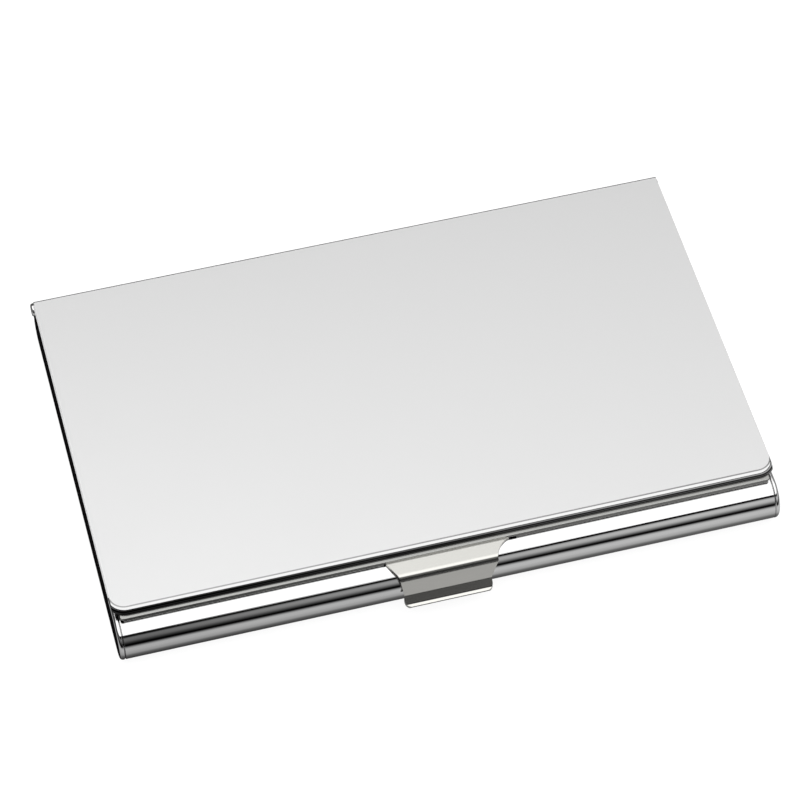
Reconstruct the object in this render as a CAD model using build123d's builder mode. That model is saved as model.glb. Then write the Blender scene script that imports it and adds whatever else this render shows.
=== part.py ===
"""Slim metal business card case with a hinged lid, a thumb latch and a card lifter.

Millimetres. +X runs to the right along the hinge, +Y to the hinge at the back and +Z up.
The origin is on the underside, at the centre of the whole case.
"""
import os

from build123d import *

os.makedirs("parts", exist_ok=True)

# ---------------------------------------------------------------- driving dimensions
CASE_WIDTH = 93.7            # over the two end walls
CASE_HEIGHT = 8.6            # underside to the face of the lid
PLATE_WIDTH = 93.5           # satin lid plate
PLATE_DEPTH = 55.8
PLATE_THICK = 0.9
PLATE_FRONT = -25.9          # y of the lid plate's front edge
FRAME_THICK = 0.35           # steel frame under the lid plate
LID_GAP = 0.45               # lid frame to the shelf of the body, the latch tab lies between them
BASE_SHEET = 0.5             # sheet of the body
END_WALL = 0.8               # thickness of an end wall
SPRING_SHEET = 0.4           # sheet of the latch tab

# hinge
PIN_RADIUS = 0.6
HINGE_BORE = 0.65            # running clearance of 0.05 on the pin
LID_KNUCKLE = 1.1            # outer radius of the lid's knuckles
BASE_KNUCKLE = 1.0           # the other knuckles turn clear of the lid plate
HINGE_SETBACK = 0.05         # hinge axis behind the plate's back edge
NOTCH_REACH = 1.35           # half size of the notches that clear the other leaf's knuckles

# ---------------------------------------------------------------- derived places
PLATE_BOTTOM = CASE_HEIGHT - PLATE_THICK
FRAME_BOTTOM = PLATE_BOTTOM - FRAME_THICK
BODY_TOP = FRAME_BOTTOM - LID_GAP
NOSE_RADIUS = BODY_TOP / 2
NOSE_Y = PLATE_FRONT
INNER_HALF = CASE_WIDTH / 2 - END_WALL
HINGE_Y = PLATE_FRONT + PLATE_DEPTH + HINGE_SETBACK
HINGE_Z = PLATE_BOTTOM - LID_KNUCKLE
BACK_INNER = HINGE_Y + BASE_KNUCKLE
BACK_OUTER = BACK_INNER + BASE_SHEET
BACK_TOP = HINGE_Z - 1.3
BACK_BEND = 2.5
SHELF_REAR = PLATE_FRONT + 2.1

# places of the knuckles along the pin, as (start, end) on the right-hand half
BASE_OUTER_KNUCKLE = (36.4, 46.0)
LID_OUTER_KNUCKLE = (24.2, 36.2)
LIFTER_KNUCKLE = (20.0, 24.0)
BASE_INNER_KNUCKLE = (7.2, 16.2)
LID_MIDDLE_KNUCKLE = 7.0


def save(part, name):
    """Label a finished piece and write its STEP file."""
    part.label = name
    export_step(part, f"parts/{name}.step")


def mirrored_spans(spans):
    """The spans (start, end) of the right-hand half, with those of the left-hand half."""
    return spans + [(-end, -start) for start, end in spans]


# ---------------------------------------------------------------- body of the case
# One polished sheet: shelf under the lid, round nose, floor and back wall.
with BuildPart() as base_shell:
    with BuildSketch(Plane.YZ.offset(-INNER_HALF)):
        with BuildLine():
            Line((SHELF_REAR, BODY_TOP), (NOSE_Y, BODY_TOP))
            CenterArc((NOSE_Y, NOSE_RADIUS), NOSE_RADIUS, 90, 180)
            Line((NOSE_Y, 0), (BACK_OUTER - BACK_BEND, 0))
            CenterArc((BACK_OUTER - BACK_BEND, BACK_BEND), BACK_BEND, -90, 90)
            Line((BACK_OUTER, BACK_BEND), (BACK_OUTER, BACK_TOP))
            offset(amount=BASE_SHEET, side=Side.LEFT, closed=True)
        make_face()
    extrude(amount=2 * INNER_HALF)
save(base_shell.part, "base_shell")

# The end walls close the section. Behind the nose they rise beside the lid frame, and each has
# an ear that carries the hinge pin.
WALL_STEP = PLATE_FRONT + 3.4
WALL_EDGE_ROUND = 0.45
SEAM_CHAMFER = 0.22
with BuildPart() as right_end_wall:
    with BuildSketch(Plane.YZ.offset(INNER_HALF)):
        with Locations((NOSE_Y, NOSE_RADIUS)):
            Circle(NOSE_RADIUS)
        with Locations((NOSE_Y, 0)):
            Rectangle(HINGE_Y - BASE_KNUCKLE - NOSE_Y, BODY_TOP, align=(Align.MIN, Align.MIN))
            Rectangle(BACK_INNER - NOSE_Y, HINGE_Z, align=(Align.MIN, Align.MIN))
            Rectangle(BACK_OUTER - NOSE_Y, BACK_TOP, align=(Align.MIN, Align.MIN))
        with Locations((WALL_STEP, 0)):
            Rectangle(HINGE_Y - WALL_STEP, HINGE_Z + BASE_KNUCKLE, align=(Align.MIN, Align.MIN))
        with Locations((HINGE_Y, HINGE_Z)):
            Circle(BASE_KNUCKLE)
    extrude(amount=END_WALL)
    lower_back = right_end_wall.edges().filter_by(Axis.X).filter_by(GeomType.LINE).group_by(Axis.Z)[0]
    fillet(lower_back.sort_by(Axis.Y)[-1], BACK_BEND)
    outer_rim = right_end_wall.faces().sort_by(Axis.X)[-1].outer_wire().edges()
    fillet(outer_rim.filter_by_position(Axis.Z, 0, BACK_TOP), WALL_EDGE_ROUND)
    inner_rim = right_end_wall.faces().sort_by(Axis.X)[0].outer_wire().edges()
    chamfer(inner_rim.filter_by_position(Axis.Z, 0, BACK_TOP), SEAM_CHAMFER)
    with Locations(Plane(origin=(CASE_WIDTH / 2, HINGE_Y, HINGE_Z), x_dir=(0, 1, 0), z_dir=(1, 0, 0))):
        Hole(PIN_RADIUS + 0.02, depth=END_WALL)
save(right_end_wall.part, "right_end_wall")
with BuildPart() as left_end_wall:
    mirror(right_end_wall.part, about=Plane.YZ)
save(left_end_wall.part, "left_end_wall")

# ---------------------------------------------------------------- hinge
BASE_LEAF_FOOT = 2.7
LID_LEAF_FRONT = HINGE_Y - 7.2
LEAF_HALF = 45.9
hinge_axis = (HINGE_Y, HINGE_Z)


def cut_notches(spans):
    """Notches across the hinge line where the other leaf's knuckles turn."""
    for start, end in mirrored_spans(spans):
        with Locations(((start + end) / 2, HINGE_Y, HINGE_Z)):
            Box(end - start, 2 * NOTCH_REACH, 2 * NOTCH_REACH, mode=Mode.SUBTRACT)


# Leaf of the body: stands against the back wall and rolls over the pin.
with BuildPart() as base_hinge_leaf:
    with BuildSketch(Plane.YZ.offset(-BASE_OUTER_KNUCKLE[1])):
        with Locations(hinge_axis):
            Circle(BASE_KNUCKLE)
        with Locations((HINGE_Y + HINGE_BORE, BASE_LEAF_FOOT)):
            Rectangle(BASE_KNUCKLE - HINGE_BORE, HINGE_Z - BASE_LEAF_FOOT, align=(Align.MIN, Align.MIN))
        with Locations(hinge_axis):
            Circle(HINGE_BORE, mode=Mode.SUBTRACT)
    extrude(amount=2 * BASE_OUTER_KNUCKLE[1])
    cut_notches([(BASE_INNER_KNUCKLE[1], BASE_OUTER_KNUCKLE[0]), (0, BASE_INNER_KNUCKLE[0])])
save(base_hinge_leaf.part, "base_hinge_leaf")

# Leaf of the lid: lies under the lid plate and rolls down over the pin.
with BuildPart() as lid_hinge_leaf:
    with BuildSketch(Plane.YZ.offset(-LEAF_HALF)):
        with Locations(hinge_axis):
            Circle(LID_KNUCKLE)
        with Locations((LID_LEAF_FRONT, HINGE_Z + HINGE_BORE)):
            Rectangle(HINGE_Y - LID_LEAF_FRONT, LID_KNUCKLE - HINGE_BORE, align=(Align.MIN, Align.MIN))
        with Locations(hinge_axis):
            Circle(HINGE_BORE, mode=Mode.SUBTRACT)
    extrude(amount=2 * LEAF_HALF)
    cut_notches([(LID_MIDDLE_KNUCKLE, LID_OUTER_KNUCKLE[0]), (LID_OUTER_KNUCKLE[1], LEAF_HALF)])
save(lid_hinge_leaf.part, "lid_hinge_leaf")

# One pin runs the full length. Both ends are peened over the end walls.
PIN_HEAD_RADIUS = 0.95
PIN_HEAD_HEIGHT = 0.35
with BuildPart() as hinge_pin:
    with BuildSketch(Plane.YZ.offset(-CASE_WIDTH / 2)):
        with Locations(hinge_axis):
            Circle(PIN_RADIUS)
    extrude(amount=CASE_WIDTH)
    for side in (-1, 1):
        with BuildSketch(Plane.YZ.offset(side * CASE_WIDTH / 2)):
            with Locations(hinge_axis):
                Circle(PIN_HEAD_RADIUS)
        extrude(amount=side * PIN_HEAD_HEIGHT)
    head_rims = hinge_pin.edges().filter_by(GeomType.CIRCLE).sort_by(Axis.X)
    fillet([head_rims[0], head_rims[-1]], 0.28)
save(hinge_pin.part, "hinge_pin")

# ---------------------------------------------------------------- lid
PLATE_CORNER = 2.9
PLATE_EDGE_ROUND = 0.85      # front edge and front corners
REAR_EDGE_ROUND = 0.3
SIDE_TRIM = 0.8              # the sides are cut back, so almost none of the rounding is left there
with BuildPart() as lid_plate:
    with BuildSketch(Plane.XY.offset(PLATE_BOTTOM)):
        with Locations((0, PLATE_FRONT)):
            Rectangle(PLATE_WIDTH + 2 * SIDE_TRIM, PLATE_DEPTH, align=(Align.CENTER, Align.MIN))
    extrude(amount=PLATE_THICK)
    fillet(lid_plate.edges().filter_by(Axis.Z).group_by(Axis.Y)[0], PLATE_CORNER)
    top_edges = lid_plate.faces().sort_by(Axis.Z)[-1].edges().sort_by(Axis.Y)
    fillet(top_edges[:-1], PLATE_EDGE_ROUND)
    Box(PLATE_WIDTH, 3 * PLATE_DEPTH, 3 * CASE_HEIGHT, mode=Mode.INTERSECT)
    fillet(lid_plate.faces().sort_by(Axis.Z)[-1].edges().sort_by(Axis.Y)[-1], REAR_EDGE_ROUND)
save(lid_plate.part, "lid_plate")

# Steel frame: a sheet under the plate with a turned-down rim. The rim has a gap for the latch tab.
FRAME_LEAD = 0.55            # frame shows this far ahead of the plate
FRAME_HALF = 45.9
FRAME_CORNER = 0.4
FRAME_FRONT = PLATE_FRONT - FRAME_LEAD
FRAME_REAR = LID_LEAF_FRONT - 0.1
RIM_THICK = 0.4
RIM_DEPTH = 0.9
RIM_HALF = 45.6
RIM_FRONT = PLATE_FRONT + 2.9
TAB_GAP_HALF = 9.4
HEM_THICK = 0.3
HEM_DEPTH = 0.33             # the front edge is turned down almost to the shelf, except over the tab
RIVET_RADIUS = 0.6
RIVET_SINK = 0.15            # depth of the flat sunk head
RIVET_SINK_RADIUS = 1.0
LATCH_RIVET_Y = PLATE_FRONT + 7.5
LATCH_RIVET_X = 5.5
SPRING_RIVET_X = 5.0
CARD_SPRING_Y = 2.0
latch_rivet_places = [(side * LATCH_RIVET_X, LATCH_RIVET_Y) for side in (-1, 1)]
spring_rivet_places = [(side * SPRING_RIVET_X, CARD_SPRING_Y) for side in (-1, 1)]
with BuildPart() as lid_frame:
    with BuildSketch(Plane.XY.offset(FRAME_BOTTOM)) as frame_outline:
        with Locations((0, FRAME_FRONT)):
            Rectangle(2 * FRAME_HALF, FRAME_REAR - FRAME_FRONT, align=(Align.CENTER, Align.MIN))
        fillet(frame_outline.vertices().group_by(Axis.Y)[0], FRAME_CORNER)
    extrude(amount=FRAME_THICK)
    with BuildSketch(Plane.XY.offset(FRAME_BOTTOM)):
        with Locations((0, RIM_FRONT)):
            Rectangle(2 * RIM_HALF, FRAME_REAR - RIM_FRONT, align=(Align.CENTER, Align.MIN))
            Rectangle(2 * (RIM_HALF - RIM_THICK), 2 * (FRAME_REAR - RIM_FRONT), mode=Mode.SUBTRACT)
        with Locations((0, RIM_FRONT)):
            Rectangle(2 * RIM_HALF, RIM_THICK, align=(Align.CENTER, Align.MIN))
            Rectangle(2 * TAB_GAP_HALF, 2, mode=Mode.SUBTRACT)
    extrude(amount=-RIM_DEPTH)
    with BuildSketch(Plane.XY.offset(FRAME_BOTTOM)):
        with Locations((0, FRAME_FRONT)):
            Rectangle(2 * (FRAME_HALF - FRAME_CORNER), HEM_THICK, align=(Align.CENTER, Align.MIN))
            Rectangle(2 * TAB_GAP_HALF, 2, mode=Mode.SUBTRACT)
    extrude(amount=-HEM_DEPTH)
    for x, y in latch_rivet_places + spring_rivet_places:
        with Locations((x, y, PLATE_BOTTOM)):
            CounterBoreHole(RIVET_RADIUS + 0.02, RIVET_SINK_RADIUS + 0.02, RIVET_SINK, depth=FRAME_THICK)
save(lid_frame.part, "lid_frame")


def rivet_at(place, grip, head_radius, head_height):
    """A rivet whose flat head is sunk in the frame and whose domed head closes below the grip."""
    with Locations(place):
        Cylinder(RIVET_SINK_RADIUS, RIVET_SINK, align=(Align.CENTER, Align.CENTER, Align.MAX))
        Cylinder(RIVET_RADIUS, grip, align=(Align.CENTER, Align.CENTER, Align.MAX))
    with Locations((place[0], place[1], place[2] - grip)):
        Cylinder(head_radius, head_height, align=(Align.CENTER, Align.CENTER, Align.MAX))


def round_rivet_heads(part, radius):
    """Dome the lowest rim of every rivet."""
    fillet(part.edges().filter_by(GeomType.CIRCLE).group_by(Axis.Z)[0], radius)


# ---------------------------------------------------------------- latch tab
# Bent strip. It is riveted under the frame, runs straight out over the shelf and the nose of the
# body, and ends in a flared thumb lip with a turned-out rim. It leans a little to the left.
TAB_ROOT_REAR = PLATE_FRONT + 11.0
TAB_BEND = (PLATE_FRONT - 3.45, FRAME_BOTTOM)
TAB_FLARE = (PLATE_FRONT - 4.4, 4.4)
TAB_RIM = (PLATE_FRONT - 5.1, 3.3)
TAB_TIP = (PLATE_FRONT - 5.55, 3.15)
ROOT_X = -0.4
NECK_X = -0.9
LIP_X = -1.3
ROOT_HALF = 8.7
NECK_HALF = 6.95
WAIST_HALF = 6.15
LIP_HALF = 6.25
LIP_CORNER = 1.0
WALL_TOP = FRAME_BOTTOM - SPRING_SHEET - 0.05
with BuildPart() as latch_tab:
    with BuildSketch(Plane.YZ.offset(ROOT_X - ROOT_HALF)):
        with BuildLine():
            FilletPolyline(
                (TAB_ROOT_REAR, FRAME_BOTTOM), TAB_BEND, TAB_FLARE, TAB_RIM, TAB_TIP, radius=[1.0, 0.5, 0.3],
            )
            offset(amount=SPRING_SHEET, side=Side.LEFT, closed=True)
        make_face()
    extrude(amount=2 * ROOT_HALF)
    # seen from above: a concave arc narrows each side to the neck, and the lip has round corners
    with BuildSketch(Plane.XY.offset(CASE_HEIGHT)):
        with BuildLine():
            for side in (-1, 1):
                root_x = ROOT_X + side * ROOT_HALF
                neck_x = NECK_X + side * NECK_HALF
                lip_x = LIP_X + side * LIP_HALF
                neck_y = TAB_BEND[0] + 0.2
                Polyline((ROOT_X, TAB_ROOT_REAR), (root_x, TAB_ROOT_REAR), (root_x, FRAME_FRONT))
                ThreePointArc((root_x, FRAME_FRONT), (neck_x + side * 0.7, FRAME_FRONT - 1.2), (neck_x, neck_y))
                FilletPolyline((neck_x, neck_y), (neck_x, TAB_FLARE[0]), (lip_x, TAB_FLARE[0] - 0.1),
                               (lip_x, TAB_TIP[0]), (LIP_X, TAB_TIP[0]), radius=[0.05, 0.05, LIP_CORNER])
        make_face()
    extrude(amount=-CASE_HEIGHT, mode=Mode.INTERSECT)
    # seen from the front: the wall tapers to the waist above the lip
    with BuildSketch(Plane.XZ.offset(-TAB_ROOT_REAR)):
        with BuildLine():
            for side in (-1, 1):
                root_x = ROOT_X + side * ROOT_HALF
                neck_x = NECK_X + side * NECK_HALF
                waist_x = LIP_X + side * WAIST_HALF
                lip_x = LIP_X + side * LIP_HALF
                Polyline((ROOT_X, CASE_HEIGHT), (root_x, CASE_HEIGHT), (root_x, WALL_TOP), (neck_x, WALL_TOP),
                         (waist_x, TAB_FLARE[1]), (lip_x, TAB_RIM[1]), (lip_x, 0), (LIP_X, 0))
        make_face()
    extrude(amount=TAB_ROOT_REAR - TAB_TIP[0], mode=Mode.INTERSECT)
    with Locations(*[(x, y, FRAME_BOTTOM) for x, y in latch_rivet_places]):
        Hole(RIVET_RADIUS + 0.02, depth=SPRING_SHEET)
save(latch_tab.part, "latch_tab")

with BuildPart() as latch_rivets:
    for x, y in latch_rivet_places:
        rivet_at((x, y, PLATE_BOTTOM), FRAME_THICK + SPRING_SHEET, 1.3, 0.45)
    round_rivet_heads(latch_rivets, 0.3)
save(latch_rivets.part, "latch_rivets")

# ---------------------------------------------------------------- card spring
# Thin bowed leaf under the lid that keeps a short stack of cards from rattling.
LEAF_THICK = 0.3
LEAF_WIDTH = 10.0
LEAF_TIP_X = 30.0
LEAF_LOW_Z = 5.95
with BuildPart() as card_spring:
    with BuildSketch(Plane.XZ.offset(-CARD_SPRING_Y - LEAF_WIDTH / 2)):
        with BuildLine():
            half_bow = [(LEAF_TIP_X, LEAF_LOW_Z + 0.45), (LEAF_TIP_X - 2, LEAF_LOW_Z), (8, FRAME_BOTTOM)]
            FilletPolyline(*half_bow, *[(-x, z) for x, z in reversed(half_bow)], radius=[2, 20, 20, 2])
            offset(amount=LEAF_THICK, side=Side.LEFT, closed=True)
        make_face()
    extrude(amount=LEAF_WIDTH)
    with Locations(*[(x, y, FRAME_BOTTOM) for x, y in spring_rivet_places]):
        Hole(RIVET_RADIUS + 0.02, depth=LEAF_THICK)
save(card_spring.part, "card_spring")

with BuildPart() as card_spring_rivets:
    for x, y in spring_rivet_places:
        rivet_at((x, y, PLATE_BOTTOM), FRAME_THICK + LEAF_THICK, 1.2, 0.4)
    round_rivet_heads(card_spring_rivets, 0.25)
save(card_spring_rivets.part, "card_spring_rivets")

# ---------------------------------------------------------------- card lifter
# Tray plate on the floor of the body. Two arms at the back hang from the hinge pin.
LIFTER_SHEET = 0.4
LIFTER_TOP = 1.15
LIFTER_HALF = 45.0
LIFTER_FRONT = PLATE_FRONT + 3.0
LIFTER_CORNER = 4.0
THUMB_NOTCH = 9.0
ARM_FACE = HINGE_Y - BASE_KNUCKLE
with BuildPart() as card_lifter:
    with BuildSketch(Plane.XY.offset(LIFTER_TOP - LIFTER_SHEET)) as tray_outline:
        with Locations((0, LIFTER_FRONT)):
            Rectangle(2 * LIFTER_HALF, ARM_FACE - 0.4 - LIFTER_FRONT, align=(Align.CENTER, Align.MIN))
        fillet(tray_outline.vertices().group_by(Axis.Y)[0], LIFTER_CORNER)
        with Locations((0, LIFTER_FRONT)):
            Circle(THUMB_NOTCH, mode=Mode.SUBTRACT)
    extrude(amount=LIFTER_SHEET)
    for start, end in mirrored_spans([LIFTER_KNUCKLE]):
        with BuildSketch(Plane.YZ.offset(start)):
            with BuildLine():
                FilletPolyline((ARM_FACE, HINGE_Z), (ARM_FACE, LIFTER_TOP), (ARM_FACE - 4, LIFTER_TOP),
                               radius=0.4)
                offset(amount=LIFTER_SHEET, side=Side.LEFT, closed=True)
            make_face()
            with Locations(hinge_axis):
                Circle(BASE_KNUCKLE)
                Circle(HINGE_BORE, mode=Mode.SUBTRACT)
        extrude(amount=end - start)
save(card_lifter.part, "card_lifter")
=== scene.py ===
"""Looks of the metal business card case: studio, materials and fine detail around the CAD frame."""

import math

import bpy
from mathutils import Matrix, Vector

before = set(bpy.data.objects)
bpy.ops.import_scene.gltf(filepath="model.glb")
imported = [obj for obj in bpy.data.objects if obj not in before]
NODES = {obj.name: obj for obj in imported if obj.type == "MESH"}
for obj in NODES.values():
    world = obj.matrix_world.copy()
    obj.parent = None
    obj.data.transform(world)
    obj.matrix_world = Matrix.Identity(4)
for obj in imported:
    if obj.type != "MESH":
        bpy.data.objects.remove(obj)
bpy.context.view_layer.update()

# camera: where it stands as seen from the case
VIEW_AZIMUTH = math.radians(-14.75)
VIEW_ELEVATION = math.radians(52.68)
VIEW_DISTANCE = 0.4926
VIEW_AIM = Vector((0.00037, 0.0019, 0.005))
LENS = 156.3
SENSOR = 36.0

# studio
FLOOR_HALF = 3.0
FLOOR_COLOR = (0.2, 0.2, 0.2, 1.0)
FLOOR_GLOW = 0.9             # the floor is a light table, so shadows stay faint
BACKGROUND = (0.95, 0.95, 0.95, 1.0)
SOFTBOX_LEVEL = 2.0
DARK_SPOT = Vector((-0.154, 0.586, -0.795))
DARK_SPOT_FADE = [(0.84, 1.0), (0.95, 0.01)]
DIM_PATCH = Vector((0.45, 0.68, 0.58))     # the soft box falls off towards the back right
DIM_PATCH_FADE = [(0.82, 1.0), (0.98, 0.6)]
RIGHT_STARTS, RIGHT_ENDS = 0.07, 0.22      # sideways direction over which the left table turns into the right

# how bright the studio is, as (height of the direction, level against the soft box), fitted to the one
# view from the camera: other views show the same bands in other places
STUDIO_LEFT = [
    (0.000, 0.04), (0.043, 0.10), (0.100, 0.24), (0.226, 0.33), (0.325, 0.34), (0.370, 0.26), (0.410, 0.11),
    (0.450, 0.006), (0.470, 0.001), (0.530, 0.001), (0.580, 0.02), (0.620, 0.045), (0.670, 0.09), (0.735, 0.115),
    (0.775, 0.10), (0.800, 0.006), (0.862, 0.004), (0.872, 1.0), (1.000, 1.0),
]
STUDIO_RIGHT = [
    (0.000, 0.05), (0.043, 0.12), (0.100, 0.30), (0.226, 0.42), (0.325, 0.42), (0.360, 0.36), (0.400, 0.20),
    (0.435, 0.010), (0.460, 0.001), (0.510, 0.004), (0.560, 0.10), (0.600, 0.22), (0.660, 0.38), (0.730, 0.43),
    (0.765, 0.30), (0.792, 0.004), (0.840, 0.002), (0.848, 1.0), (1.000, 1.0),
]

# masks over how far the surface faces up or down, as (|normal z|, level). BORDER marks the lid plate's polished
# rounded border. The others are painted shade that stands in for dark reflections: a grey line where the satin
# face ends and a dark band lower in the lid plate's rounded edge, darker at its left end than at its right, and
# painted shade in the bends of the latch tab
BORDER = [(0.955, 1.0), (0.975, 0.0)]
EDGE_LINE_LEFT = [(0.66, 0.05), (0.73, 1.0), (0.955, 1.0), (0.975, 0.4), (0.9985, 0.4), (0.9995, 1.0)]
EDGE_LINE_RIGHT = [(0.52, 0.22), (0.66, 1.0), (0.955, 1.0), (0.975, 0.3), (0.9985, 0.3), (0.9995, 1.0)]
EDGE_LINE_SPAN = 0.03        # the left line turns into the right one between these distances from the middle
BEND_LINE = [(0.50, 1.0), (0.60, 0.12), (0.88, 0.12), (0.94, 1.0)]


def direction(azimuth, elevation):
    """Unit vector from the case towards a camera at that azimuth and elevation."""
    return Vector((math.sin(azimuth) * math.cos(elevation), -math.cos(azimuth) * math.cos(elevation),
                   math.sin(elevation)))


def add_camera():
    data = bpy.data.cameras.new("camera")
    data.lens = LENS
    data.sensor_width = SENSOR
    data.clip_start = 0.01
    data.clip_end = 20.0
    camera = bpy.data.objects.new("camera", data)
    bpy.context.scene.collection.objects.link(camera)
    back = direction(VIEW_AZIMUTH, VIEW_ELEVATION)
    camera.location = VIEW_AIM + back * VIEW_DISTANCE
    camera.rotation_euler = (-back).to_track_quat("-Z", "Y").to_euler()
    bpy.context.scene.camera = camera


class Nodes:
    """Short way to add and link shader nodes."""

    def __init__(self, tree):
        self.tree = tree
        tree.nodes.clear()

    def add(self, kind, inputs=None, **settings):
        node = self.tree.nodes.new(kind)
        for name, value in settings.items():
            setattr(node, name, value)
        for name, value in (inputs or {}).items():
            if isinstance(value, bpy.types.NodeSocket):
                self.tree.links.new(value, node.inputs[name])
            else:
                node.inputs[name].default_value = value
        return node

    def math(self, operation, a, b=0.0, c=0.0, clamp=False):
        return self.add("ShaderNodeMath", {0: a, 1: b, 2: c}, operation=operation, use_clamp=clamp).outputs[0]

    def mix(self, factor, a, b, blend="MIX"):
        """Blend two colours; the inputs are addressed by place, because their names repeat."""
        node = self.add("ShaderNodeMix", {0: factor, 6: a, 7: b}, data_type="RGBA", blend_type=blend)
        return node.outputs[2]

    def ramp(self, value, stops, interpolation="LINEAR"):
        """Grey ramp over (position, level) stops."""
        node = self.add("ShaderNodeValToRGB", {"Fac": value})
        node.color_ramp.interpolation = interpolation
        elements = node.color_ramp.elements
        for index, (position, level) in enumerate(stops):
            element = elements[index] if index < 2 else elements.new(position)
            element.position = position
            element.color = (level, level, level, 1.0)
        return node.outputs["Color"]


def add_world():
    """Soft box overhead, dim walls that get lighter to the right, a dark horizon and a grey lower half."""
    world = bpy.data.worlds.new("studio")
    bpy.context.scene.world = world
    world.use_nodes = True
    n = Nodes(world.node_tree)
    view = n.add("ShaderNodeTexCoord").outputs["Generated"]
    split = n.add("ShaderNodeSeparateXYZ", {0: view})
    height = n.math("MULTIPLY_ADD", split.outputs["Z"], 0.5, 0.5)
    left = n.ramp(height, STUDIO_LEFT)
    right = n.ramp(height, STUDIO_RIGHT)
    across = n.add("ShaderNodeMapRange", {0: split.outputs["X"], 1: RIGHT_STARTS, 2: RIGHT_ENDS}).outputs[0]
    bands = n.mix(across, left, right)
    spot = n.add("ShaderNodeVectorMath", {0: view, 1: DARK_SPOT.normalized()}, operation="DOT_PRODUCT")
    spot_fade = n.ramp(spot.outputs["Value"], DARK_SPOT_FADE)
    shaded = n.mix(1.0, bands, spot_fade, blend="MULTIPLY")
    patch = n.add("ShaderNodeVectorMath", {0: view, 1: DIM_PATCH.normalized()}, operation="DOT_PRODUCT")
    patch_fade = n.ramp(patch.outputs["Value"], DIM_PATCH_FADE)
    shaded = n.mix(1.0, shaded, patch_fade, blend="MULTIPLY")
    studio = n.add("ShaderNodeBackground", {"Color": shaded, "Strength": SOFTBOX_LEVEL})
    plain = n.add("ShaderNodeBackground", {"Color": BACKGROUND, "Strength": 1.0})
    seen = n.add("ShaderNodeLightPath").outputs["Is Camera Ray"]
    both = n.add("ShaderNodeMixShader", {0: seen, 1: studio.outputs[0], 2: plain.outputs[0]})
    n.add("ShaderNodeOutputWorld", {"Surface": both.outputs[0]})


def add_floor():
    mesh = bpy.data.meshes.new("floor")
    h = FLOOR_HALF
    mesh.from_pydata([(-h, -h, 0), (h, -h, 0), (h, h, 0), (-h, h, 0)], [], [(0, 1, 2, 3)])
    floor = bpy.data.objects.new("floor", mesh)
    bpy.context.scene.collection.objects.link(floor)
    material = bpy.data.materials.new("floor_matte")
    material.use_nodes = True
    n = Nodes(material.node_tree)
    lit = n.add("ShaderNodeBsdfDiffuse", {"Color": FLOOR_COLOR}).outputs[0]
    glow = n.add("ShaderNodeEmission", {"Color": (1.0, 1.0, 1.0, 1.0), "Strength": FLOOR_GLOW}).outputs[0]
    both = n.add("ShaderNodeAddShader", {0: lit, 1: glow}).outputs[0]
    n.add("ShaderNodeOutputMaterial", {"Surface": both})
    mesh.materials.append(material)
    floor.visible_glossy = False


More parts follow.
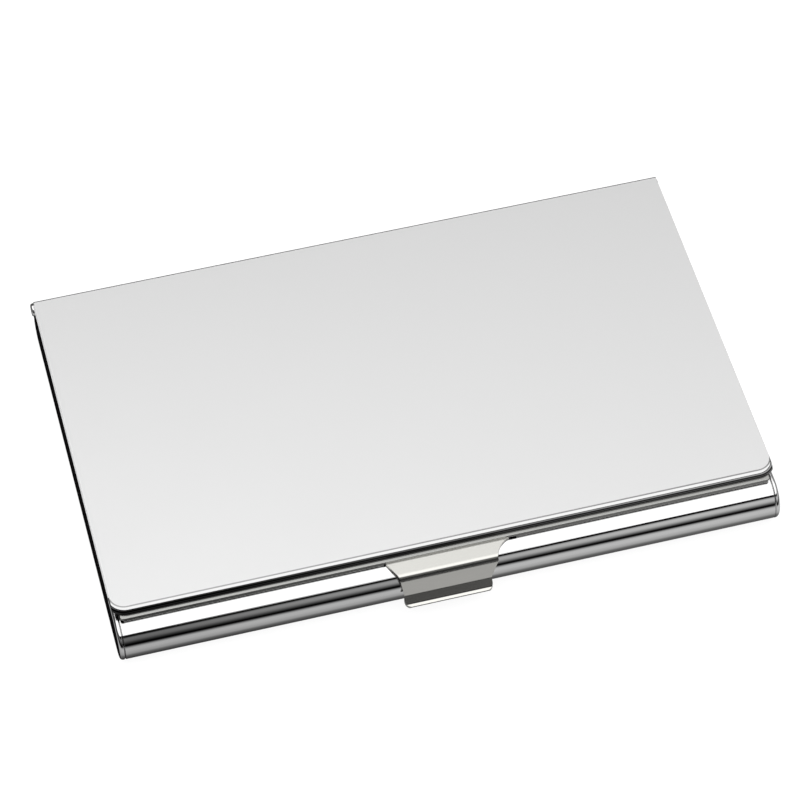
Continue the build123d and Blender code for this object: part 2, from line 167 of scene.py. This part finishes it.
def metal(name, color, roughness, grain=(1.0, 1.0, 1.0), grain_scale=4000.0, grain_depth=0.02,
          smudge=0.04, tint=0.03, edge=0.0, wave=0.0, border_finish_and_painted_edge=None, painted_bend_shade=False):
    """Bare metal with stretched grain, handling marks, soft worn edges and a slightly wavy sheet.

    Depths are in millimetres. border_finish_and_painted_edge is the colour and roughness of the rounded border of a satin face.
    With border_finish_and_painted_edge or crease, dark lines are painted in the border or in the bends in place of reflections.
    """
    material = bpy.data.materials.new(name)
    material.use_nodes = True
    n = Nodes(material.node_tree)
    place = n.add("ShaderNodeTexCoord").outputs["Object"]
    stretched = n.add("ShaderNodeMapping", {"Vector": place, "Scale": grain}).outputs[0]
    lines = n.add("ShaderNodeTexNoise", {"Vector": stretched, "Scale": grain_scale, "Detail": 3.0,
                                         "Roughness": 0.6}).outputs[0]
    marks = n.add("ShaderNodeTexNoise", {"Vector": place, "Scale": 90.0, "Detail": 4.0,
                                         "Roughness": 0.55}).outputs[0]
    grain_rough = n.math("MULTIPLY_ADD", lines, roughness * 0.35, roughness * 0.825)
    rough = n.math("MULTIPLY_ADD", marks, smudge, grain_rough, clamp=True)
    tone = n.math("MULTIPLY_ADD", marks, tint, 1.0 - tint)
    tone = n.math("MULTIPLY_ADD", lines, tint, tone)
    base = n.add("ShaderNodeVectorMath", {0: color, "Scale": tone}, operation="SCALE").outputs[0]
    facing = n.add("ShaderNodeSeparateXYZ", {0: n.add("ShaderNodeTexCoord").outputs["Normal"]})
    up = n.math("ABSOLUTE", facing.outputs["Z"])
    # painted shade in the tab's bends, standing in for dark reflections there
    if painted_bend_shade:
        bends = n.ramp(up, BEND_LINE)
        base = n.mix(1.0, base, bends, blend="MULTIPLY")
    # the rounded border gets its own polished colour and roughness; over it go painted reflections: a grey line
    # where the satin face ends and a dark band lower in the rounded edge
    if border_finish_and_painted_edge:
        border = n.ramp(up, BORDER)
        left = n.ramp(up, EDGE_LINE_LEFT)
        right = n.ramp(up, EDGE_LINE_RIGHT)
        across = n.add("ShaderNodeSeparateXYZ", {0: place}).outputs["X"]
        across = n.add("ShaderNodeMapRange", {0: across, 1: -EDGE_LINE_SPAN, 2: EDGE_LINE_SPAN}).outputs[0]
        line = n.mix(across, left, right)
        base = n.mix(border, base, border_finish_and_painted_edge[0] + (1.0,))
        base = n.mix(1.0, base, line, blend="MULTIPLY")
        rough = n.add("ShaderNodeMix", {0: border, 2: rough, 3: border_finish_and_painted_edge[1]}).outputs[0]
    sheet = n.add("ShaderNodeTexNoise", {"Vector": place, "Scale": 260.0, "Detail": 1.0}).outputs[0]
    normal = n.add("ShaderNodeBevel", {"Radius": edge * 1e-3}, samples=6).outputs[0]
    normal = n.add("ShaderNodeBump", {"Height": sheet, "Strength": 1.0, "Distance": wave * 1e-3,
                                      "Normal": normal}).outputs[0]
    normal = n.add("ShaderNodeBump", {"Height": lines, "Strength": 1.0, "Distance": grain_depth * 1e-3,
                                      "Normal": normal}).outputs[0]
    shader = n.add("ShaderNodeBsdfPrincipled", {"Base Color": base, "Metallic": 1.0, "Roughness": rough,
                                                "Normal": normal})
    n.add("ShaderNodeOutputMaterial", {"Surface": shader.outputs[0]})
    return material


def assign(material, *names):
    for name in names:
        mesh = NODES[name].data
        mesh.materials.clear()
        mesh.materials.append(material)


def dress():
    polish = (0.57, 0.57, 0.57)
    assign(metal("polished_steel", polish, 0.035, grain=(0.1, 3, 3), grain_depth=0.0004, tint=0.08, edge=0.06,
                 wave=0.0004),
           "base_shell", "left_end_wall", "right_end_wall")
    assign(metal("satin_plate", (0.645, 0.645, 0.645), 0.34, grain_depth=0.002, tint=0.015,
                 border_finish_and_painted_edge=((0.47, 0.47, 0.47), 0.06)), "lid_plate")
    assign(metal("frame_steel", (0.31, 0.31, 0.30), 0.14, grain=(0.1, 2, 2), grain_depth=0.001, edge=0.15),
           "lid_frame")
    assign(metal("brushed_tab", (0.52, 0.515, 0.49), 0.22, grain=(0.06, 1.5, 1.5), grain_depth=0.003, edge=0.1,
                 painted_bend_shade=True), "latch_tab")
    assign(metal("hinge_steel", (0.55, 0.545, 0.53), 0.2, grain=(0.1, 2, 2), grain_depth=0.002, edge=0.08),
           "base_hinge_leaf", "lid_hinge_leaf")
    assign(metal("pin_steel", (0.58, 0.58, 0.58), 0.12, grain_depth=0.001), "hinge_pin")
    assign(metal("rivet_steel", (0.56, 0.56, 0.56), 0.2, grain_depth=0.002), "latch_rivets", "card_spring_rivets")
    assign(metal("spring_steel", (0.45, 0.45, 0.46), 0.22, grain=(0.1, 2, 2), grain_depth=0.002, edge=0.08),
           "card_spring")
    assign(metal("lifter_steel", (0.57, 0.57, 0.56), 0.26, grain=(0.06, 1.5, 1.5), grain_depth=0.003, edge=0.08),
           "card_lifter")


add_camera()
add_world()
add_floor()
dress()
scene = bpy.context.scene
scene.view_settings.view_transform = "Standard"
